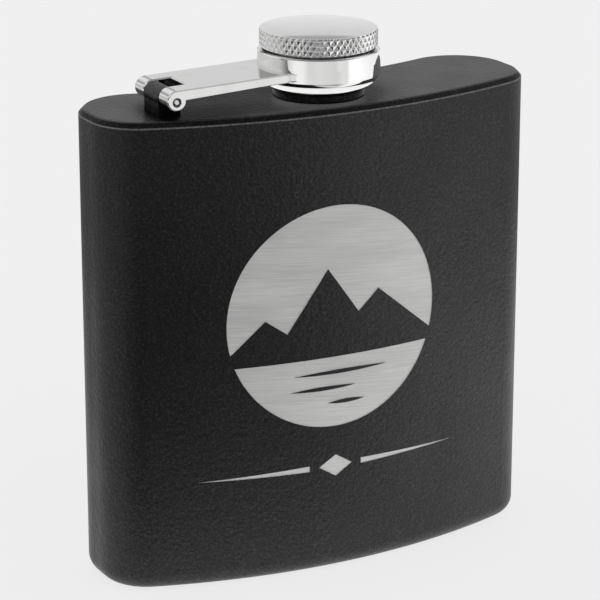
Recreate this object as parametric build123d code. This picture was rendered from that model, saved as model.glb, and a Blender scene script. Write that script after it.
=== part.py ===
from build123d import *
import math
import os

# Curved hip flask with a captive screw cap on a hinged arm.
# Millimetres. +Z is up, the front faces -Y, the hinge is at -X.
# The origin is on the base, under the axis of the neck.

# ---- driving dimensions ----
body_width = 95.0
body_thickness = 26.4          # front to back, measured on the neck axis
front_bow = 9.5                # how far the convex front bows over its width
back_bow = 10.6                # the same for the concave back
front_corner_r = 10.3
back_corner_r = 11.5
sheet = 0.6                    # steel sheet of the shell
wall_top = 94.95               # crisp edge where the side wall ends
base_round = 3.3               # rounding under the base
base_height = 8.0              # height of the pressed base pan
bevel_inset = 1.1              # bevel round the top plate
bevel_rise = 1.15
bevel_foot_r = 0.15            # easing of the bevel's lower edge
bevel_edge_r = 0.5             # and of its upper edge
rim_land = 0.25                # upright edge of the top plate, over the wall's edge
top_skirt = 4.0                # flange of the top plate inside the wall

pitch = 1.5                    # screw cap thread
thread_foot = 0.1              # how far a ridge reaches into its wall
thread_crest_half = 0.15       # half the ridge's height at its crest
mouth_r = 6.0                  # bore of the neck
mouth_chamfer = 0.2
neck_r = 6.75                  # thread root
neck_thread_r = 7.5            # thread crest
neck_thread_rise = 2.9         # lower end of the thread above the top plate
neck_thread_turns = 2.4
neck_thread_half = 0.62        # half the ridge's height at its root
neck_height = 7.45             # mouth above the top plate
neck_flange_r = 9.6
neck_flange_thickness = 1.0
collar_r = 9.0
collar_height = 1.6
collar_edge_r = 0.4

pin_x = -34.4                  # hinge pin, along Y
pin_rise = 3.55                # pin axis above the top plate
pin_r = 0.65
pin_recess = 0.15              # pin ends below the faces of the arm
pin_sink_r = 0.95              # countersink round the pin's ends
pin_sink_depth = 0.4
knuckle_r = 2.1
arm_eye_r = 2.0                # rounded end of the arm
arm_eye_rise = 0.3             # its centre above the pin
arm_width = 14.8
arm_tilt = 1.5                 # degrees that the top of the arm rises towards the cap
arm_taper = 1.2                # degrees by which its underside rises more
arm_thickness = 2.25           # at the pin
arm_edge_r = 0.25
fork_gap = 6.6
fork_depth = 3.8               # slot end from the pin axis
slot_chamfer = 0.25            # on the slot's upper edges
bracket_length = 3.9
bracket_foot_length = 4.6
bracket_foot_width = 7.4
bracket_foot_height = 0.9
running_gap = 0.05             # radial clearance of a turning joint
side_gap = 0.1                 # side clearance of a turning joint

cup_r = 12.2                   # ring of the arm round the cap
cup_rim_r = 12.1
cup_foot_r = 10.0              # where the rounded underside ends
cup_inner_r = 11.2
cup_bottom_rise = 2.25         # underside of the cup above the top plate
cup_wall_rise = 4.5            # where the upright wall starts
cup_taper_rise = 7.0           # where it starts to lean in
cup_rim_rise = 9.25
cup_fillet_r = 2.5             # where the arm's sides run into the cup
lip_rise = 5.0                 # lip inside the cup, above the top plate
lip_thickness = 0.8
recess_r = 9.75                # room for the retaining ring under the lip
knob_r = 11.75
knob_bottom_rise = 9.85        # underside of the knurled head above the top plate
knob_height = 3.4
knob_dome = 0.24
knob_chamfer = 0.2
knob_throat_r = 10.3           # deep groove between the head and the cup
shank_r = 9.0
shank_rise = 1.8               # lower end of the shank above the top plate
knob_bore_r = 8.3
insert_bore_r = 7.8            # clears the neck's thread while the cap swings off
insert_inset = 0.2             # its lower end above that of the shank
insert_chamfer = 0.2
insert_thread_gap = 0.2        # between its crest and the neck
insert_thread_half = 0.5
insert_thread_turns = 1.2
insert_thread_start = 1.5      # turns above the lower end of the neck's thread
clip_inner_r = 8.62
clip_outer_r = 9.5
clip_thickness = 0.6
clip_gap = 3.0
clip_groove_depth = 0.4
clip_rise = 0.25               # groove above the lower end of the shank
washer_thickness = 0.5
seal_thickness = 1.2
contact_gap = 0.02             # between faces that only touch
overcut = 1.0                  # how far a cutting tool reaches past the solid

engraving_depth = 0.1          # coat and a trace of steel taken off
engraving_x = -3.0             # middle of the engraving, left of the neck axis
roundel_z = 53.9
roundel_r = 22.9
border_z = 22.6                # ornament under the roundel
border_width = 60.0
border_height = 4.6
diamond_half = 3.7             # half the width of the diamond in the middle of the ornament
bar_start = 5.75               # where its tapering bars begin
bar_half = 0.6                 # half their height there

# ---- derived places ----
plate_top = wall_top + bevel_rise
pin_z = plate_top + pin_rise
arm_top_rise = arm_eye_rise + arm_eye_r    # top of the arm above the pin
mouth_z = plate_top + neck_height
neck_thread_z = plate_top + neck_thread_rise
cup_bottom = plate_top + cup_bottom_rise
cup_rim = plate_top + cup_rim_rise
shank_bottom = plate_top + shank_rise
lip_bottom = plate_top + lip_rise
lip_top = lip_bottom + lip_thickness
knob_bottom = plate_top + knob_bottom_rise
knob_top = knob_bottom + knob_height

# Circles of the kidney-shaped plan. Each corner circle touches its long arc and the side.
half_width = body_width / 2
front_r = (half_width**2 + front_bow**2) / (2 * front_bow)
back_r = (half_width**2 + back_bow**2) / (2 * back_bow)
front_centre_y = front_r - body_thickness / 2
back_centre_y = back_r + body_thickness / 2
front_corner_x = half_width - front_corner_r
back_corner_x = half_width - back_corner_r
front_corner_y = front_centre_y - math.sqrt((front_r - front_corner_r) ** 2 - front_corner_x**2)
back_corner_y = back_centre_y - math.sqrt((back_r + back_corner_r) ** 2 - back_corner_x**2)


def on_circle(centre, towards, radius):
    """Point on a circle about centre, in the direction of another point."""
    return centre + (towards - centre).normalized() * radius


def corner_arc(centre, radius, start, end):
    """Corner of the plan from start to end, round its centre."""
    middle = on_circle(centre, (start + end) / 2, radius)
    return ThreePointArc(start, middle, end)


def plan(inset=0.0):
    """Kidney-shaped plan of the body as a face, moved inwards by inset."""
    front_centre = Vector(0, front_centre_y)
    back_centre = Vector(0, back_centre_y)
    front_corner = Vector(front_corner_x, front_corner_y)
    back_corner = Vector(back_corner_x, back_corner_y)
    side = half_width - inset
    front_end = on_circle(front_centre, front_corner, front_r - inset)
    back_end = on_circle(back_centre, back_corner, back_r + inset)
    front_middle = Vector(0, front_centre_y - front_r + inset)
    back_middle = Vector(0, back_centre_y - back_r - inset)
    side_front = Vector(side, front_corner_y)
    side_back = Vector(side, back_corner_y)
    right = [
        corner_arc(front_corner, front_corner_r - inset, front_end, side_front),
        Line(side_front, side_back),
        corner_arc(back_corner, back_corner_r - inset, side_back, back_end),
    ]
    left = [edge.mirror(Plane.YZ) for edge in right]
    front = ThreePointArc(Vector(-front_end.X, front_end.Y), front_middle, front_end)
    back = ThreePointArc(Vector(-back_end.X, back_end.Y), back_middle, back_end)
    return make_face([front, back] + right + left)


def slab(inset, bottom, top):
    """Upright slab of the plan between two heights."""
    return extrude(Pos(0, 0, bottom) * plan(inset), top - bottom)


def ring(outer, inner, bottom, top):
    """Upright tube about the neck axis."""
    middle = Pos(0, 0, (bottom + top) / 2)
    return middle * (Cylinder(outer, top - bottom) - Cylinder(inner, top - bottom))


def turned(points):
    """Solid of revolution about the neck axis from (radius, height) points."""
    section = make_face(Polyline(*[(r, 0, z) for r, z in points], close=True))
    return revolve(section, Axis.Z)


def edges_at(solid, height, reach=0.01):
    """Edges of a solid that lie level at one height."""
    return [e for e in solid.edges() if abs(e.bounding_box().min.Z - height) < reach
            and abs(e.bounding_box().max.Z - height) < reach]


def thread(root_r, crest_r, root_half, bottom, top):
    """Helical ridge from root_r to crest_r, its middle line from bottom to top."""
    path = Helix(pitch, top - bottom, root_r)
    section = make_face(Polyline(
        (root_r, 0, -root_half),
        (crest_r, 0, -thread_crest_half),
        (crest_r, 0, thread_crest_half),
        (root_r, 0, root_half),
        close=True,
    ))
    return Pos(0, 0, bottom) * sweep(section, path, is_frenet=True)


# ---- engraving: a hill and lake roundel, and an ornament under it ----
def hills():
    """Ridge of three hills that stays coated, in shares of the roundel's radius."""
    ridge = [
        (-1.1, -0.36),
        (-0.66, 0.04),
        (-0.46, -0.10),
        (-0.08, 0.44),
        (0.22, 0.02),
        (0.42, 0.2),
        (1.1, -0.36),
    ]
    return make_face(Polyline(*[(x * roundel_r, z * roundel_r) for x, z in ridge], close=True))


def ripples():
    """Three thin lens-shaped lines on the lake under the hills."""
    widest_first = [(0.9, 0.05, -0.5), (0.62, -0.12, -0.64), (0.36, 0.1, -0.78)]
    thick = 0.018 * roundel_r
    shapes = []
    for width, middle, height in widest_first:    # in shares of the roundel's radius
        half = width * roundel_r / 2
        start = Vector(middle * roundel_r - half, height * roundel_r)
        end = Vector(middle * roundel_r + half, height * roundel_r)
        bow = Vector(0, thick)
        centre = (start + end) / 2
        upper = ThreePointArc(start, centre + bow, end)
        lower = ThreePointArc(start, centre - bow, end)
        shapes.append(make_face([upper, lower]))
    return shapes


def border():
    """Ornament under the roundel: a diamond between two long tapering bars."""
    diamond = Polyline(
        (-diamond_half, 0),
        (0, border_height / 2),
        (diamond_half, 0),
        (0, -border_height / 2),
        close=True,
    )
    shapes = [make_face(diamond)]
    for side in (-1, 1):
        inner = side * bar_start
        tip = side * border_width / 2
        bar = Polyline((inner, bar_half), (inner, -bar_half), (tip, 0), close=True)
        shapes.append(make_face(bar))
    return shapes


def engraving():
    """What is cut from the front of the wrap, as one shallow tool."""
    roundel = Circle(roundel_r) - hills()
    for ripple in ripples():
        roundel = roundel - ripple
    drawing = [Pos(engraving_x, roundel_z) * roundel]
    drawing += [Pos(engraving_x, border_z) * shape for shape in border()]
    upright = Pos(0, -2 * body_thickness, 0) * Rot(90, 0, 0)
    blocks = [extrude(upright * shape, -2 * body_thickness) for shape in drawing]
    core = slab(engraving_depth, 0, wall_top)
    return [block - core for block in blocks]


# ---- shell ----
def body_wrap():
    """Sheet wrapped round the flask: front, back and both ends, engraved on the front."""
    top = wall_top - rim_land
    wrap = slab(0, base_height, top) - slab(sheet, base_height, top)
    for cut in engraving():
        wrap = wrap - cut
    return wrap


def base_plate():
    """Pressed base pan with a rounded edge, butt-welded under the wrap."""
    outer = slab(0, 0, base_height)
    outer = fillet(edges_at(outer, 0), base_round)
    inner = slab(sheet, sheet, base_height)
    inner = fillet(edges_at(inner, sheet), base_round - sheet)
    return outer - inner


def top_plate():
    """Pressed top with a bevelled rim over the wrap's edge and a flange inside it."""
    rim = slab(0, wall_top - rim_land, plate_top)
    rim = chamfer_rim(rim)
    flange = slab(sheet + contact_gap, wall_top - top_skirt, plate_top - sheet)
    hollow = slab(2 * sheet, wall_top - top_skirt, plate_top - sheet)
    plate = rim + flange - hollow
    return plate - Pos(0, 0, plate_top) * Cylinder(neck_r, 4 * sheet)


def chamfer_rim(rim):
    """Bevel the top edge of the rim, with both edges of the bevel eased."""
    rim_edges = edges_at(rim, plate_top)
    face = rim.faces().sort_by(Axis.Z)[-1]
    bevelled = chamfer(rim_edges, bevel_inset, bevel_rise, reference=face)
    bevelled = fillet(edges_at(bevelled, wall_top), bevel_foot_r)
    return fillet(edges_at(bevelled, plate_top), bevel_edge_r)


# ---- neck and hinge bracket on the top plate ----
def neck():
    """Threaded spout with a flange under the top plate."""
    flange_top = plate_top - sheet
    flange_bottom = flange_top - neck_flange_thickness
    spout = ring(neck_r, mouth_r, flange_bottom, mouth_z)
    spout = chamfer(edges_at(spout, mouth_z), mouth_chamfer)
    flange = ring(neck_flange_r, mouth_r, flange_bottom, flange_top)
    thread_top = neck_thread_z + neck_thread_turns * pitch
    ridge = thread(neck_r - thread_foot, neck_thread_r, neck_thread_half, neck_thread_z, thread_top)
    return spout + flange + ridge


def neck_collar():
    """Coated ring at the foot of the neck, over its weld."""
    collar = ring(collar_r, neck_r, plate_top, plate_top + collar_height)
    return fillet(edges_at(collar, plate_top + collar_height)[0:1], collar_edge_r)


def along_pin(solid):
    """Turn a solid built along Z at the origin so that it lies along the hinge pin."""
    return Pos(pin_x, 0, pin_z) * Rot(90, 0, 0) * solid


def hinge_bracket():
    """Foot welded to the top plate, with the knuckle that the pin turns in."""
    foot = Box(bracket_foot_length, bracket_foot_width, bracket_foot_height)
    foot = fillet(foot.edges().filter_by(Axis.Z), bracket_foot_length / 4)
    foot = Pos(pin_x + bracket_foot_length / 8, 0, plate_top + bracket_foot_height / 2) * foot
    knuckle_width = fork_gap - 2 * side_gap
    post = Pos(pin_x, 0, plate_top + pin_rise / 2) * Box(bracket_length, knuckle_width, pin_rise)
    knuckle = along_pin(Cylinder(knuckle_r, knuckle_width))
    bore = along_pin(Cylinder(pin_r + running_gap, 2 * arm_width))
    return foot + post + knuckle - bore


# ---- arm ----
def hinge_pin():
    """Pin pressed into the fork, with rounded ends just inside its faces."""
    pin = along_pin(Cylinder(pin_r, arm_width - 2 * pin_recess))
    return fillet(pin.edges().filter_by(GeomType.CIRCLE), pin_r / 2)


def arm_bar():
    """Flat bar of the arm with its rounded hinge end, before the slot; its top rises to the cup."""
    length = -pin_x
    foot_rise = arm_top_rise - arm_thickness
    top_slope = math.tan(math.radians(arm_tilt))
    foot_slope = math.tan(math.radians(arm_tilt + arm_taper))
    side = make_face(Polyline(
        (pin_x, 0, pin_z + arm_top_rise),
        (0, 0, pin_z + arm_top_rise + length * top_slope),
        (0, 0, pin_z + foot_rise + length * foot_slope),
        (pin_x, 0, pin_z + foot_rise),
        close=True,
    ))
    bar = extrude(side, arm_width / 2, both=True)
    eye = Pos(0, 0, arm_eye_rise) * along_pin(Cylinder(arm_eye_r, arm_width))
    return bar + eye


def cup_solid():
    """Outside of the ring round the cap: leaning wall and rounded underside."""
    wall_foot = plate_top + cup_wall_rise
    rim_bevel = 0.2
    wall = Polyline(
        (cup_r, 0, wall_foot),
        (cup_r, 0, plate_top + cup_taper_rise),
        (cup_rim_r, 0, cup_rim - rim_bevel),
        (cup_rim_r - rim_bevel, 0, cup_rim),
        (0, 0, cup_rim),
        (0, 0, cup_bottom),
        (cup_foot_r, 0, cup_bottom),
    )
    bulge = 0.25                       # roundness of the underside
    middle = Vector((cup_r + cup_foot_r) / 2 + bulge, 0, (wall_foot + cup_bottom) / 2 - bulge)
    underside = ThreePointArc((cup_foot_r, 0, cup_bottom), middle, (cup_r, 0, wall_foot))
    return revolve(make_face([wall, underside]), Axis.Z)


def cup_room():
    """Room inside the ring: for the knob above the lip, for the retaining ring below it."""
    below = cup_bottom - overcut
    above = cup_rim + overcut
    return turned([
        (0, below),
        (recess_r, below),
        (recess_r, lip_bottom),
        (shank_r + running_gap, lip_bottom),
        (shank_r + running_gap, lip_top),
        (cup_inner_r, lip_top),
        (cup_inner_r, above),
        (0, above),
    ])


def cap_arm():
    """One casting: forked hinge end, flat bar and the ring that holds the cap."""
    arm = arm_bar() + cup_solid()
    flares = [e for e in arm.edges().filter_by(GeomType.LINE) if -cup_r < e.center().X < -shank_r]
    arm = fillet(flares, cup_fillet_r)
    long_edges = [e for e in arm.edges().filter_by(GeomType.LINE) if e.length > arm_width]
    arm = fillet(long_edges, arm_edge_r)
    arm = arm - cup_room()
    slot_end = pin_x + fork_depth
    slot_length = 4 * fork_depth       # reaches out past the hinge end
    slot = Pos(slot_end - slot_length / 2, 0, pin_z) * Box(slot_length, fork_gap, slot_length)
    arm = arm - slot
    slot_edges = [e for e in arm.edges().filter_by(GeomType.LINE) if is_slot_edge(e, slot_end)]
    arm = chamfer(slot_edges, slot_chamfer)
    arm = arm - along_pin(Cylinder(pin_r, 2 * arm_width))
    for side in (-1, 1):
        offset = side * (arm_width - pin_sink_depth) / 2
        arm = arm - along_pin(Pos(0, 0, offset) * pin_sink(side))
    return arm


def is_slot_edge(edge, slot_end):
    """True for an edge where the slot opens in the top of the arm."""
    middle = edge.center()
    above = middle.Z > pin_z + arm_top_rise - slot_chamfer
    return above and middle.X < slot_end + slot_chamfer and abs(middle.Y) < fork_gap / 2 + slot_chamfer


def pin_sink(side):
    """Countersink at one end of the pin's hole, wider towards the face of the arm."""
    if side > 0:
        return Cone(pin_r, pin_sink_r, pin_sink_depth)
    return Cone(pin_sink_r, pin_r, pin_sink_depth)


# ---- cap ----
def cap_knob():
    """Turned knob: head, groove above the ring and a bored shank with a clip groove."""
    bore_top = mouth_z + contact_gap + seal_thickness + contact_gap
    groove_bottom = shank_bottom + clip_rise
    groove_top = groove_bottom + clip_thickness + side_gap / 2
    groove_r = shank_r - clip_groove_depth
    shoulder = lip_top + washer_thickness + side_gap / 2
    body = turned([
        (knob_bore_r, shank_bottom),
        (shank_r - side_gap, shank_bottom),
        (shank_r, shank_bottom + side_gap),
        (shank_r, groove_bottom),
        (groove_r, groove_bottom),
        (groove_r, groove_top),
        (shank_r, groove_top),
        (shank_r, shoulder),
        (knob_throat_r, shoulder),
        (knob_throat_r, knob_bottom),
        (knob_r - knob_chamfer, knob_bottom),
        (knob_r, knob_bottom + knob_chamfer),
        (knob_r, knob_top - knob_chamfer),
        (knob_r - knob_chamfer, knob_top),
        (0, knob_top),
        (0, bore_top),
        (knob_bore_r, bore_top),
    ])
    return body + crown()


def crown():
    """Shallow dome on top of the knob."""
    rim_r = knob_r - knob_chamfer
    dome_r = (rim_r**2 + knob_dome**2) / (2 * knob_dome)
    ball = Pos(0, 0, knob_top + knob_dome - dome_r) * Sphere(dome_r)
    return ball & Pos(0, 0, knob_top + knob_dome) * Cylinder(rim_r, 2 * knob_dome)


def cap_insert():
    """Threaded bush pressed into the knob; its short thread grips the neck."""
    bottom = shank_bottom + insert_inset
    bush = ring(knob_bore_r, insert_bore_r, bottom, mouth_z)
    bush = chamfer(edges_at(bush, bottom), insert_chamfer)
    start = neck_thread_z + insert_thread_start * pitch
    end = start + insert_thread_turns * pitch
    ridge = thread(insert_bore_r + thread_foot, neck_r + insert_thread_gap, insert_thread_half, start, end)
    return bush + ridge


def cap_seal():
    """Silicone disc above the insert, closing on the mouth of the neck."""
    bottom = mouth_z + contact_gap
    return Pos(0, 0, bottom + seal_thickness / 2) * Cylinder(knob_bore_r - running_gap, seal_thickness)


def retaining_ring():
    """Snap ring in the shank's groove, under the lip of the arm's ring."""
    bottom = shank_bottom + clip_rise + side_gap / 4
    clip = ring(clip_outer_r, clip_inner_r, bottom, bottom + clip_thickness)
    gap = Pos(0, -clip_outer_r, bottom) * Box(clip_gap, clip_gap, clip_gap)
    return clip - gap


def slip_washer():
    """Thin nylon washer between the lip and the shoulder of the knob."""
    bottom = lip_top + contact_gap
    return ring(cup_inner_r - 2 * side_gap, shank_r + side_gap, bottom, bottom + washer_thickness)


PARTS = {
    "body_wrap": body_wrap,
    "base_plate": base_plate,
    "top_plate": top_plate,
    "neck": neck,
    "neck_collar": neck_collar,
    "hinge_bracket": hinge_bracket,
    "hinge_pin": hinge_pin,
    "cap_arm": cap_arm,
    "cap_knob": cap_knob,
    "cap_insert": cap_insert,
    "cap_seal": cap_seal,
    "retaining_ring": retaining_ring,
    "slip_washer": slip_washer,
}

os.makedirs("parts", exist_ok=True)
for node, build in PARTS.items():
    export_step(build(), f"parts/{node}.step")
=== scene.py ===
import math

import bpy
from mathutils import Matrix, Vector


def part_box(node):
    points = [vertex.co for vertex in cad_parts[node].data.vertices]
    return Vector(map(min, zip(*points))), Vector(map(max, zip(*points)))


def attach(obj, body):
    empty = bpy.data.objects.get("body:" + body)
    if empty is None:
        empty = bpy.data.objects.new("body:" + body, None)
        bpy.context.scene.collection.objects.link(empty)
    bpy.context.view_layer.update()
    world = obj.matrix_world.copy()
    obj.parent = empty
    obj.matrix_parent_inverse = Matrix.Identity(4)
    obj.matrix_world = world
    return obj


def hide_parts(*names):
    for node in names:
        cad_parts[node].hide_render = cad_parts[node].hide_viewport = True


# Looks of the hip flask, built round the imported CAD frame. Metres, same frame as the CAD:
# +Z up, the front faces -Y, the hinge of the arm is at -X.

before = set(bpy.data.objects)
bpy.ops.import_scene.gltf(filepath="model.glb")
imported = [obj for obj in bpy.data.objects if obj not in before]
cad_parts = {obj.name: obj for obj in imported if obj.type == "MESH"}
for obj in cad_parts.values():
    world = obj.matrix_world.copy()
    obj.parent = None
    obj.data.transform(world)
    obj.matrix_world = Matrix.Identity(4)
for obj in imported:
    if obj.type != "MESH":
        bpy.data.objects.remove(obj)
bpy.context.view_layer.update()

MM = 0.001

# Places taken from the frame
wrap_low, wrap_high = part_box("body_wrap")
_, plate_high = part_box("top_plate")
knob_low, knob_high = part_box("cap_knob")
collar_low, collar_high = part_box("neck_collar")
pin_low, pin_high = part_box("hinge_pin")
PIN_AXIS = (pin_low + pin_high) / 2
BEVEL_RISE = 1.15 * MM
WALL_TOP = collar_low.z - BEVEL_RISE      # crisp edge under the bevel of the top plate

# Curved front of the body, an arc about a vertical axis behind it
FRONT_BOW = 9.5 * MM
HALF_WIDTH = wrap_high.x
FRONT_R = (HALF_WIDTH ** 2 + FRONT_BOW ** 2) / (2 * FRONT_BOW)
FRONT_AXIS_Y = wrap_low.y + FRONT_R
ENGRAVING_DEPTH = 0.1 * MM
ENGRAVING_TOP = 90 * MM                   # no engraving stands higher on the wall
ENGRAVING_REACH = 0.75 * HALF_WIDTH       # nor further from the middle
BRUSH_TILT = -5.5                         # degrees


# ---------------------------------------------------------------- node helpers
class Shader:
    """A material under construction: short calls for the nodes that the looks below share."""

    def __init__(self, name, base, roughness, metallic=0.0):
        self.material = bpy.data.materials.new(name)
        self.material.use_nodes = True
        self.tree = self.material.node_tree
        self.bsdf = self.tree.nodes["Principled BSDF"]
        self.set("Base Color", (*base, 1.0))
        self.set("Roughness", roughness)
        self.set("Metallic", metallic)
        coordinates = self.node("ShaderNodeTexCoord")
        self.place = coordinates.outputs["Object"]

    def node(self, kind, **settings):
        made = self.tree.nodes.new(kind)
        for key, value in settings.items():
            setattr(made, key, value)
        return made

    def plug(self, socket, value):
        """Link an output into a socket, or write a plain value there."""
        if isinstance(value, bpy.types.NodeSocket):
            self.tree.links.new(value, socket)
        else:
            socket.default_value = value

    def set(self, name, value):
        self.plug(self.bsdf.inputs[name], value)

    def math(self, operation, a, b=0.0, clamp=False):
        made = self.node("ShaderNodeMath", operation=operation, use_clamp=clamp)
        self.plug(made.inputs[0], a)
        self.plug(made.inputs[1], b)
        return made.outputs[0]

    def ramp(self, value, low, high, out_low=0.0, out_high=1.0):
        """Smooth step of value from low to high."""
        made = self.node("ShaderNodeMapRange", interpolation_type="SMOOTHSTEP")
        self.plug(made.inputs["Value"], value)
        made.inputs["From Min"].default_value = low
        made.inputs["From Max"].default_value = high
        made.inputs["To Min"].default_value = out_low
        made.inputs["To Max"].default_value = out_high
        return made.outputs["Result"]

    def gradient(self, value, lights):
        """Grey levels along a value from 0 to 1, given as (position, light) pairs."""
        made = self.node("ShaderNodeValToRGB")
        self.plug(made.inputs[0], value)
        fill_ramp(made.color_ramp.elements, lights)
        return made.outputs[0]

    def tilted(self, angle):
        """The object's coordinates turned about the Y axis by an angle in degrees."""
        made = self.node("ShaderNodeVectorRotate", rotation_type="Y_AXIS")
        self.plug(made.inputs["Vector"], self.place)
        made.inputs["Angle"].default_value = math.radians(angle)
        return made.outputs[0]

    def stretched(self, scale, place=None):
        """The object's coordinates, or others, multiplied by a scale for each axis."""
        made = self.node("ShaderNodeVectorMath", operation="MULTIPLY")
        self.plug(made.inputs[0], place or self.place)
        made.inputs[1].default_value = scale
        return made.outputs[0]

    def noise(self, size, detail=2.0, scale=(1.0, 1.0, 1.0), place=None):
        """Noise whose blotches are about size metres wide."""
        made = self.node("ShaderNodeTexNoise")
        made.inputs["Scale"].default_value = 1.0 / size
        made.inputs["Detail"].default_value = detail
        self.plug(made.inputs["Vector"], self.stretched(scale, place))
        return made.outputs["Fac"]

    def axes(self):
        made = self.node("ShaderNodeSeparateXYZ")
        self.plug(made.inputs[0], self.place)
        return made.outputs

    def mix_value(self, share, a, b):
        made = self.node("ShaderNodeMix", data_type="FLOAT")
        self.plug(made.inputs[0], share)
        self.plug(made.inputs[2], a)
        self.plug(made.inputs[3], b)
        return made.outputs[0]

    def mix_color(self, share, a, b):
        made = self.node("ShaderNodeMix", data_type="RGBA")
        self.plug(made.inputs[0], share)
        self.plug(made.inputs[6], a if isinstance(a, bpy.types.NodeSocket) else (*a, 1.0))
        self.plug(made.inputs[7], b if isinstance(b, bpy.types.NodeSocket) else (*b, 1.0))
        return made.outputs[2]

    def bump(self, height, distance, strength=1.0, normal=None):
        made = self.node("ShaderNodeBump")
        self.plug(made.inputs["Height"], height)
        made.inputs["Distance"].default_value = distance
        self.plug(made.inputs["Strength"], strength)
        if normal is not None:
            self.plug(made.inputs["Normal"], normal)
        return made.outputs["Normal"]


# ---------------------------------------------------------------- materials
def powder_coat(name, shine=1.0):
    """Satin black powder coat: orange-peel grain, and bare brushed steel where it is engraved."""
    s = Shader(name, (0.02, 0.02, 0.021), 0.5)
    x, y, z = s.axes()

    # Depth under the curved front: past half the engraving's depth the steel is bare.
    behind = s.math("SUBTRACT", y, FRONT_AXIS_Y)
    span = s.math("ADD", s.math("MULTIPLY", x, x), s.math("MULTIPLY", behind, behind))
    depth = s.math("SUBTRACT", FRONT_R, s.math("SQRT", span))
    deep = s.math("GREATER_THAN", depth, 0.5 * ENGRAVING_DEPTH)
    shallow = s.math("LESS_THAN", depth, 2.0 * ENGRAVING_DEPTH)
    in_front = s.math("LESS_THAN", y, 0.0)
    near_middle = s.math("LESS_THAN", s.math("ABSOLUTE", x), ENGRAVING_REACH)
    in_front = s.math("MULTIPLY", in_front, near_middle)
    above_base = s.math("GREATER_THAN", z, wrap_low.z)
    on_wall = s.math("MULTIPLY", above_base, s.math("LESS_THAN", z, ENGRAVING_TOP))
    bare = s.math("MULTIPLY", s.math("MULTIPLY", deep, shallow), s.math("MULTIPLY", in_front, on_wall))

    # Coat: fine grain on a slower orange peel.
    grain = s.noise(0.4 * MM, 4.0)
    peel = s.noise(0.9 * MM, 1.0)
    patch = s.noise(14 * MM, 2.0)
    height = s.math("ADD", s.math("MULTIPLY", grain, 0.5), peel)
    fleck = s.ramp(grain, 0.52, 0.72)
    pit_color = (0.001, 0.001, 0.0011)
    fleck_color = (0.03, 0.03, 0.031)
    coat_color = s.mix_color(s.math("MULTIPLY", fleck, 0.55), pit_color, fleck_color)
    patch_rough = s.ramp(patch, 0.3, 0.7, 0.39, 0.45)
    coat_rough = s.math("ADD", patch_rough, s.math("MULTIPLY", grain, 0.06))

    # Painted highlight: a lighter, broken line in the base colour along the crisp edge under the bevel.
    off_edge = s.math("ABSOLUTE", s.math("SUBTRACT", z, WALL_TOP))
    near_edge = s.ramp(off_edge, 0.05 * MM, 0.2 * MM, 1.0, 0.0)
    painted_edge_highlight = s.math("MULTIPLY", near_edge, s.ramp(s.noise(0.3 * MM, 3.0), 0.35, 0.65, 0.3, 1.0))
    coat_color = s.mix_color(s.math("MULTIPLY", painted_edge_highlight, 0.9), coat_color, (0.25, 0.25, 0.255))

    # Steel: long brush lines that run a little downhill to the right.
    along = s.tilted(BRUSH_TILT)
    brush = s.noise(0.1 * MM, 4.0, (0.012, 0.012, 1.0), along)
    cloud = s.noise(5 * MM, 2.0, (0.3, 0.3, 1.0), along)
    tone = s.math("ADD", s.math("MULTIPLY", brush, 0.7), s.math("MULTIPLY", cloud, 0.3))
    steel_color = s.mix_color(s.ramp(tone, 0.35, 0.65), (0.8, 0.8, 0.795), (0.93, 0.93, 0.92))
    steel_rough = s.ramp(brush, 0.3, 0.7, 0.8, 0.9)

    # Less light reaches the coat beside the hinge, under the arm and round the collar.
    nearness = s.node("ShaderNodeAmbientOcclusion", samples=8)
    nearness.inputs["Distance"].default_value = 16 * MM
    open_sky = s.math("MAXIMUM", nearness.outputs["AO"], s.math("LESS_THAN", z, wrap_high.z))
    # Painted shade and light in the specular: the bevel gets less than the wall, the plate more than
    # either.
    on_bevel = s.ramp(z, WALL_TOP + 0.1 * MM, WALL_TOP + 0.25 * MM, 0.5, 0.15)
    on_plate = s.ramp(z, plate_high.z - 0.35 * MM, plate_high.z - 0.05 * MM, 0.0, 0.7)
    painted_sheen = s.math("MULTIPLY", s.math("ADD", on_bevel, on_plate), s.ramp(grain, 0.3, 0.7, 0.8, 1.2))
    # A shine below 1 gives a copy of the coat with less specular, as painted shade.
    painted_sheen = s.math("MULTIPLY", painted_sheen, shine)
    s.set("Specular IOR Level", s.math("MULTIPLY", painted_sheen, s.ramp(open_sky, 0.55, 0.98, 0.1, 1.0)))

    s.set("Base Color", s.mix_color(bare, coat_color, steel_color))
    s.set("Metallic", bare)
    s.set("Roughness", s.mix_value(bare, coat_rough, steel_rough))
    rough_normal = s.bump(height, 0.16 * MM, s.mix_value(bare, 0.8, 0.0))
    s.set("Normal", s.bump(brush, 0.01 * MM, s.mix_value(bare, 0.0, 0.25), rough_normal))
    return s.material


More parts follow.
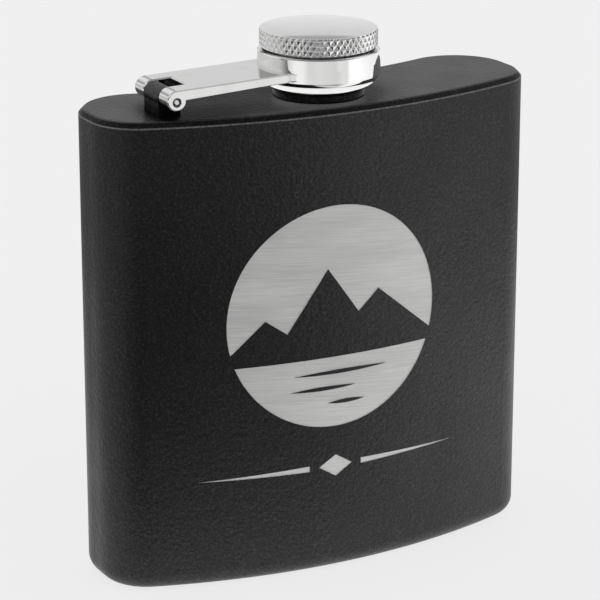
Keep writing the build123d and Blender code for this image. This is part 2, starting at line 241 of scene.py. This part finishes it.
def chrome(name, satin_below=None):
    """Bright chrome plate with faint handling marks, satin below a height if one is given."""
    s = Shader(name, (0.78, 0.78, 0.78), 0.06, 1.0)
    x, _, z = s.axes()
    smudge = s.noise(4 * MM, 3.0)
    scratch = s.noise(0.12 * MM, 2.0, (0.05, 1.0, 1.0))
    scratch_rough = s.ramp(scratch, 0.66, 0.8, 0.0, 0.05)
    rough = s.math("ADD", s.ramp(smudge, 0.45, 0.75, 0.02, 0.06), scratch_rough)
    plate = s.mix_color(s.ramp(smudge, 0.4, 0.8), (0.79, 0.79, 0.785), (0.74, 0.74, 0.735))
    if satin_below is not None:
        satin = s.ramp(z, satin_below - 0.08 * MM, satin_below, 1.0, 0.0)
        rough = s.mix_value(satin, rough, 0.3)
        plate = s.mix_color(satin, plate, (0.92, 0.92, 0.915))
    s.set("Roughness", rough)
    # Painted shade: a dark ring in the base colour round the ends of the hinge pin, in the
    # countersinks.
    across = s.math("SUBTRACT", x, PIN_AXIS.x)
    above = s.math("SUBTRACT", z, PIN_AXIS.z)
    span = s.math("ADD", s.math("MULTIPLY", across, across), s.math("MULTIPLY", above, above))
    painted_countersink_shade = s.ramp(s.math("SQRT", span), 0.88 * MM, 0.96 * MM, 0.9, 0.0)
    s.set("Base Color", s.mix_color(painted_countersink_shade, plate, (0.03, 0.03, 0.03)))
    return s.material


def peened_steel():
    """Bright steel of the pin's rounded ends, softly dimpled."""
    s = Shader("peened_steel", (0.85, 0.85, 0.84), 0.3, 1.0)
    dimple = s.noise(0.3 * MM, 1.0)
    s.set("Roughness", s.ramp(dimple, 0.3, 0.7, 0.25, 0.4))
    s.set("Normal", s.bump(dimple, 0.02 * MM, 0.3))
    return s.material


def turned_steel():
    """Stainless steel off the lathe: fine rings about the neck axis."""
    s = Shader("turned_steel", (0.6, 0.6, 0.59), 0.25, 1.0)
    rings = s.noise(0.1 * MM, 3.0, (0.02, 0.02, 1.0))
    s.set("Roughness", s.ramp(rings, 0.3, 0.7, 0.18, 0.34))
    s.set("Base Color", s.mix_color(rings, (0.5, 0.5, 0.49), (0.68, 0.68, 0.67)))
    s.set("Normal", s.bump(rings, 0.01 * MM, 0.3))
    return s.material


def moulded(name, color, roughness, grain_size, depth, transmission=0.0):
    """Moulded plastic or rubber with a fine matt grain."""
    s = Shader(name, color, roughness)
    grain = s.noise(grain_size, 3.0)
    patch = s.noise(3 * MM, 2.0)
    darker = tuple(0.85 * c for c in color)
    s.set("Base Color", s.mix_color(patch, color, darker))
    s.set("Roughness", s.ramp(grain, 0.3, 0.7, roughness - 0.06, roughness + 0.06))
    s.set("Normal", s.bump(grain, depth, 0.4))
    s.set("Transmission Weight", transmission)
    return s.material


def paint(nodes, material):
    """Give CAD nodes one material in every slot."""
    for node in nodes:
        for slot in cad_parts[node].material_slots:
            slot.material = material


# ---------------------------------------------------------------- knurled knob
def ring_points(radius, height, count):
    step = 2 * math.pi / count
    return [(radius * math.cos(i * step), radius * math.sin(i * step), height) for i in range(count)]


def zigzag(turns):
    """Triangle wave: 0 at whole numbers, 1 half way between them."""
    share = turns % 1.0
    return 1.0 - abs(2.0 * share - 1.0)


def knurled_knob():
    """The whole knob with a cut diamond knurl round its head, in place of the plain CAD knob."""
    diamonds = 57
    facets = 14 * diamonds
    radius = knob_high.x
    depth = 0.27 * MM
    edge = 0.2 * MM
    rise = 0.24 * MM
    top = knob_high.z - rise
    bottom = top - 3.4 * MM
    pitch = 1.95 * MM
    rows = 38
    base = knob_low.z
    shoulder = base + 4.55 * MM
    shank = 9.0 * MM
    bore = 8.3 * MM
    bore_top = base + 6.89 * MM
    throat = 10.3 * MM
    groove_depth = 0.4 * MM
    groove_low = base + 0.25 * MM
    groove_high = base + 0.9 * MM
    chamfer = 0.1 * MM
    dome_rings = 12
    sharp_angle = math.radians(28)

    vertices = []
    rings = []

    def add_ring(points):
        rings.append(range(len(vertices), len(vertices) + len(points)))
        vertices.extend(points)

    for k in range(1, dome_rings + 1):
        r = (radius - edge) * k / dome_rings
        share = r / (radius - edge)
        add_ring(ring_points(r, top + rise * (1 - share * share), facets))
    for k in range(rows + 1):
        z = top - (top - bottom) * k / rows
        from_edge = min(top - z, z - bottom)
        limit = radius - edge + min(edge, from_edge)
        points = []
        for i in range(facets):
            around = diamonds * i / facets
            along = (z - bottom) / pitch
            height = min(zigzag(around + along), zigzag(around - along))
            r = min(limit, radius - depth * (1.0 - height))
            angle = 2 * math.pi * i / facets
            points.append((r * math.cos(angle), r * math.sin(angle), z))
        add_ring(points)
    under = [
        (throat, bottom),
        (throat, shoulder),
        (shank, shoulder),
        (shank, groove_high),
        (shank - groove_depth, groove_high),
        (shank - groove_depth, groove_low),
        (shank, groove_low),
        (shank, base + chamfer),
        (shank - chamfer, base),
        (bore, base),
        (bore, bore_top),
    ]
    for r, z in under:
        add_ring(ring_points(r, z, facets))

    faces = []
    for upper, lower in zip(rings, rings[1:]):
        for i in range(facets):
            j = (i + 1) % facets
            faces.append((upper[i], lower[i], lower[j], upper[j]))
    crown = len(vertices)
    vertices.append((0, 0, knob_high.z))
    roof = len(vertices)
    vertices.append((0, 0, bore_top))
    first, last = rings[0], rings[-1]
    for i in range(facets):
        j = (i + 1) % facets
        faces.append((crown, first[i], first[j]))
        faces.append((roof, last[j], last[i]))

    mesh = bpy.data.meshes.new("cap_knob_knurled")
    mesh.from_pydata(vertices, [], faces)
    mesh.validate()
    for polygon in mesh.polygons:
        polygon.use_smooth = True
    mesh.set_sharp_from_angle(angle=sharp_angle)
    knob = bpy.data.objects.new("cap_knob_knurled", mesh)
    bpy.context.scene.collection.objects.link(knob)
    return knob


# ---------------------------------------------------------------- studio
FLOOR_HALF_SIDE = 6.0
PAPER = 0.772                             # light of the floor itself, seen by the camera
BOUNCE = 1.1                              # light of the floor, seen in reflections
BOUNCE_RIGHT = 1.35                       # the same on the right
PANEL_LIGHT = 1.6                         # light of the far panels, seen in reflections
FLAG_CENTRE = (-0.085, -0.2, 0.0)         # middle of the dark patch in front of the flask
FLAG_CORE = 0.14                          # radius of its unlit middle
FLAG_EDGE = 0.2                           # radius where the light is full again
CARD_RADIUS = 12.6 * MM
CARD_GAP = 0.1 * MM
CARD_LIGHT = 1.1

# The sky passes from front to back between these depths of the direction.
ALL_FRONT = -0.05
ALL_BACK = 0.3

# Light by azimuth, in turns from +Y through -X: half way is the front (-Y), 0.75 is +X.
FAR_PANELS = [
    (0.0, 0.6), (0.25, 0.62), (0.3, 0.95), (0.34, 0.95), (0.37, 0.75), (0.43, 0.75), (0.5, 0.7),
    (0.57, 0.65), (0.59, 0.95), (0.65, 0.92), (0.69, 0.85), (0.75, 0.8), (1.0, 0.6),
]
DIP_LIGHT = [(0.0, 0.15), (0.46, 0.1), (0.52, 1.0), (0.61, 1.0), (0.65, 0.1), (0.75, 0.0), (1.0, 0.15)]
FRONT_BY_AZIMUTH = [
    (0.0, 0.5), (0.2, 0.45), (0.3, 0.1), (0.38, 0.03), (0.53, 0.03), (0.62, 0.1), (0.68, 0.15),
    (0.77, 0.25), (1.0, 0.5),
]

# Light by height, as the sine of the elevation.
BACK_BY_HEIGHT = [
    (0.0, 0.5), (0.09, 0.65), (0.14, 0.9), (0.21, 0.79), (0.27, 0.72), (0.278, 0.42), (0.36, 0.42),
    (0.46, 0.9), (0.7, 0.9), (0.82, 0.5), (1.0, 0.4),
]
FRONT_BY_HEIGHT = [(0.0, 1.0), (0.4, 0.8), (0.6, 0.2), (1.0, 0.08)]
OVERHEAD = [(0.0, 0.0), (0.24, 0.0), (0.4, 0.7), (0.7, 1.0), (0.8, 0.6), (0.88, 0.3)]


def reflected_floor(s):
    """Light of the floor in reflections: bright at the flask's foot, dark in front to the left."""
    x, y, _ = s.axes()
    length = s.node("ShaderNodeVectorMath", operation="LENGTH")
    s.plug(length.inputs[0], s.place)
    from_foot = length.outputs["Value"]
    azimuth = s.math("ARCTAN2", x, s.math("MULTIPLY", y, -1.0))
    turns = s.math("ADD", s.math("MULTIPLY", azimuth, 0.5 / math.pi), 0.5)

    # The flagged patch in front, except right at the foot.
    distance = s.node("ShaderNodeVectorMath", operation="DISTANCE")
    s.plug(distance.inputs[0], s.place)
    distance.inputs[1].default_value = FLAG_CENTRE
    flag = s.ramp(distance.outputs["Value"], FLAG_CORE, FLAG_EDGE)
    lit = s.math("MAXIMUM", flag, s.ramp(from_foot, 0.05, 0.1, 0.8, 0.0))

    # Brighter to the right, dimmer to the near left.
    right = s.ramp(x, 0.03, 0.15, BOUNCE, BOUNCE_RIGHT)
    left = s.mix_value(s.ramp(from_foot, 0.26, 0.32), s.ramp(x, -0.12, -0.02, 0.7, 1.0), 1.0)
    sides = s.math("MULTIPLY", right, left)

    # Far off it fades, and is broken up by panels. Between the two lies a ring with a dark part.
    fade = s.ramp(from_foot, 0.15, 0.4, 1.0, 0.65)
    panels = s.math("MULTIPLY", s.gradient(turns, FAR_PANELS), PANEL_LIGHT)
    far = s.math("MULTIPLY", fade, s.mix_value(s.ramp(from_foot, 0.2, 0.35), 1.0, panels))
    dip = s.math("MULTIPLY", s.ramp(from_foot, 0.17, 0.28), s.ramp(from_foot, 0.36, 0.41, 1.0, 0.0))
    far = s.math("MULTIPLY", far, s.mix_value(dip, 1.0, s.gradient(turns, DIP_LIGHT)))
    return s.math("MULTIPLY", s.math("MULTIPLY", lit, sides), far)


def studio_floor():
    """Pale paper floor. Reflections see it with a darker patch in front of the flask, as if flagged."""
    mesh = bpy.data.meshes.new("studio_floor")
    side = FLOOR_HALF_SIDE
    corners = [(-side, -side, 0), (side, -side, 0), (side, side, 0), (-side, side, 0)]
    mesh.from_pydata(corners, [], [(0, 1, 2, 3)])
    floor = bpy.data.objects.new("studio_floor", mesh)
    bpy.context.scene.collection.objects.link(floor)
    s = Shader("studio_paper", (0.15, 0.15, 0.15), 0.9)
    s.set("Specular IOR Level", 0.0)
    paper = s.node("ShaderNodeEmission")
    paper.inputs["Color"].default_value = (PAPER, PAPER, PAPER, 1)
    seen = s.node("ShaderNodeAddShader")
    s.tree.links.new(s.bsdf.outputs[0], seen.inputs[0])
    s.tree.links.new(paper.outputs[0], seen.inputs[1])

    bounce = s.node("ShaderNodeEmission")
    s.plug(bounce.inputs["Strength"], reflected_floor(s))
    rays = s.node("ShaderNodeLightPath")
    mix = s.node("ShaderNodeMixShader")
    s.tree.links.new(rays.outputs["Is Camera Ray"], mix.inputs[0])
    s.tree.links.new(bounce.outputs[0], mix.inputs[1])
    s.tree.links.new(seen.outputs[0], mix.inputs[2])
    output = s.tree.nodes["Material Output"]
    s.tree.links.new(mix.outputs[0], output.inputs["Surface"])
    mesh.materials.append(s.material)


def glint_card():
    """White card round the foot of the neck, seen only in the chrome above it."""
    inner = collar_high.x + CARD_GAP
    foot = plate_high.z + CARD_GAP
    profile = [(inner, collar_high.z + CARD_GAP), (inner, foot), (CARD_RADIUS, foot)]
    count = 96
    vertices = []
    for radius, height in profile:
        vertices.extend(ring_points(radius, height, count))
    faces = []
    for k in range(len(profile) - 1):
        upper, lower = k * count, (k + 1) * count
        for i in range(count):
            j = (i + 1) % count
            faces.append((upper + i, lower + i, lower + j, upper + j))
    mesh = bpy.data.meshes.new("glint_card")
    mesh.from_pydata(vertices, [], faces)
    card = bpy.data.objects.new("glint_card", mesh)
    bpy.context.scene.collection.objects.link(card)
    material = bpy.data.materials.new("glint_card")
    material.use_nodes = True
    tree = material.node_tree
    glow = tree.nodes.new("ShaderNodeEmission")
    glow.inputs["Strength"].default_value = CARD_LIGHT
    clear = tree.nodes.new("ShaderNodeBsdfTransparent")
    facing = tree.nodes.new("ShaderNodeNewGeometry")
    mix = tree.nodes.new("ShaderNodeMixShader")
    tree.links.new(facing.outputs["Backfacing"], mix.inputs[0])
    tree.links.new(glow.outputs[0], mix.inputs[1])
    tree.links.new(clear.outputs[0], mix.inputs[2])
    tree.links.new(mix.outputs[0], tree.nodes["Material Output"].inputs["Surface"])
    mesh.materials.append(material)
    card.visible_camera = False
    card.visible_diffuse = False
    card.visible_transmission = False
    card.visible_shadow = False


def fill_ramp(stops, lights):
    """Set a colour ramp to grey levels, given as (position, light) pairs."""
    while len(stops) > 1:
        stops.remove(stops[-1])
    stops[0].position, light = lights[0]
    stops[0].color = (light, light, light, 1)
    for position, light in lights[1:]:
        stops.new(position).color = (light, light, light, 1)


def studio_sky():
    """Surroundings by direction: a banded backdrop behind, a dark front, light from above."""
    world = bpy.data.worlds.new("studio_sky")
    bpy.context.scene.world = world
    world.use_nodes = True
    tree = world.node_tree
    background = tree.nodes["Background"]
    coordinates = tree.nodes.new("ShaderNodeTexCoord")
    split = tree.nodes.new("ShaderNodeSeparateXYZ")
    tree.links.new(coordinates.outputs["Generated"], split.inputs[0])

    def math_node(operation, a, b):
        made = tree.nodes.new("ShaderNodeMath")
        made.operation = operation
        for socket, value in zip(made.inputs, (a, b)):
            if isinstance(value, bpy.types.NodeSocket):
                tree.links.new(value, socket)
            else:
                socket.default_value = value
        return made.outputs[0]

    def ramp(value, lights):
        made = tree.nodes.new("ShaderNodeValToRGB")
        tree.links.new(value, made.inputs[0])
        fill_ramp(made.color_ramp.elements, lights)
        return made.outputs[0]

    back = ramp(split.outputs["Z"], BACK_BY_HEIGHT)
    toward_camera = math_node("MULTIPLY", split.outputs["Y"], -1.0)
    azimuth = math_node("ARCTAN2", split.outputs["X"], toward_camera)
    turns = math_node("ADD", math_node("MULTIPLY", azimuth, 0.5 / math.pi), 0.5)
    front = ramp(turns, FRONT_BY_AZIMUTH)
    front = math_node("MULTIPLY", front, ramp(split.outputs["Z"], FRONT_BY_HEIGHT))
    front = math_node("ADD", front, ramp(split.outputs["Z"], OVERHEAD))
    # Blend of the two, by depth.
    share = tree.nodes.new("ShaderNodeMapRange")
    share.interpolation_type = "SMOOTHSTEP"
    tree.links.new(split.outputs["Y"], share.inputs["Value"])
    share.inputs["From Min"].default_value = ALL_FRONT
    share.inputs["From Max"].default_value = ALL_BACK
    blend = tree.nodes.new("ShaderNodeMix")
    tree.links.new(share.outputs["Result"], blend.inputs[0])
    tree.links.new(front, blend.inputs[2])
    tree.links.new(back, blend.inputs[3])
    background.inputs["Color"].default_value = (1, 1, 1, 1)
    tree.links.new(blend.outputs[0], background.inputs["Strength"])


def camera(azimuth, elevation, distance, target, lens):
    """Camera at a distance from a target, seen from an azimuth and elevation in degrees."""
    data = bpy.data.cameras.new("camera")
    data.lens = lens
    data.sensor_width = 36.0
    eye = bpy.data.objects.new("camera", data)
    a, e = math.radians(azimuth), math.radians(elevation)
    back = Vector((math.sin(a) * math.cos(e), -math.cos(a) * math.cos(e), math.sin(e)))
    eye.location = Vector(target) + distance * back
    eye.rotation_mode = "QUATERNION"
    eye.rotation_quaternion = (-back).to_track_quat("-Z", "Y")
    bpy.context.scene.collection.objects.link(eye)
    bpy.context.scene.camera = eye


# ---------------------------------------------------------------- build
BRIGHT_DOME = 0.42 * MM                   # height of the knob's bright top, above the satin knurl
CAMERA_TARGET = (-0.00277, 0.00253, 0.05290)

coat = powder_coat("powder_coat")
# Painted shade: a copy of the coat with less specular, for the collar and hinge bracket, which sit in
# shade.
shaded_coat = powder_coat("powder_coat_hinge", 0.75)
bright = chrome("chrome")
knurl_chrome = chrome("chrome_knurl", knob_high.z - BRIGHT_DOME)
steel = turned_steel()
pin_steel = peened_steel()
paint(["body_wrap", "base_plate", "top_plate"], coat)
paint(["neck_collar", "hinge_bracket"], shaded_coat)
paint(["cap_arm"], bright)
paint(["hinge_pin"], pin_steel)
paint(["neck", "retaining_ring"], steel)
paint(["cap_insert"], moulded("insert_plastic", (0.045, 0.045, 0.048), 0.42, 0.2 * MM, 0.02 * MM))
paint(["cap_seal"], moulded("seal_silicone", (0.5, 0.51, 0.51), 0.5, 0.3 * MM, 0.02 * MM, 0.15))
paint(["slip_washer"], moulded("washer_nylon", (0.72, 0.71, 0.67), 0.45, 0.2 * MM, 0.02 * MM))

knob = knurled_knob()
knob.data.materials.append(knurl_chrome)
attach(knob, "cap")
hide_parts("cap_knob")

studio_floor()
glint_card()
studio_sky()

camera(azimuth=-28.06, elevation=17.81, distance=0.5716, target=CAMERA_TARGET, lens=169.6)
view_settings = bpy.context.scene.view_settings
view_settings.view_transform = "Standard"
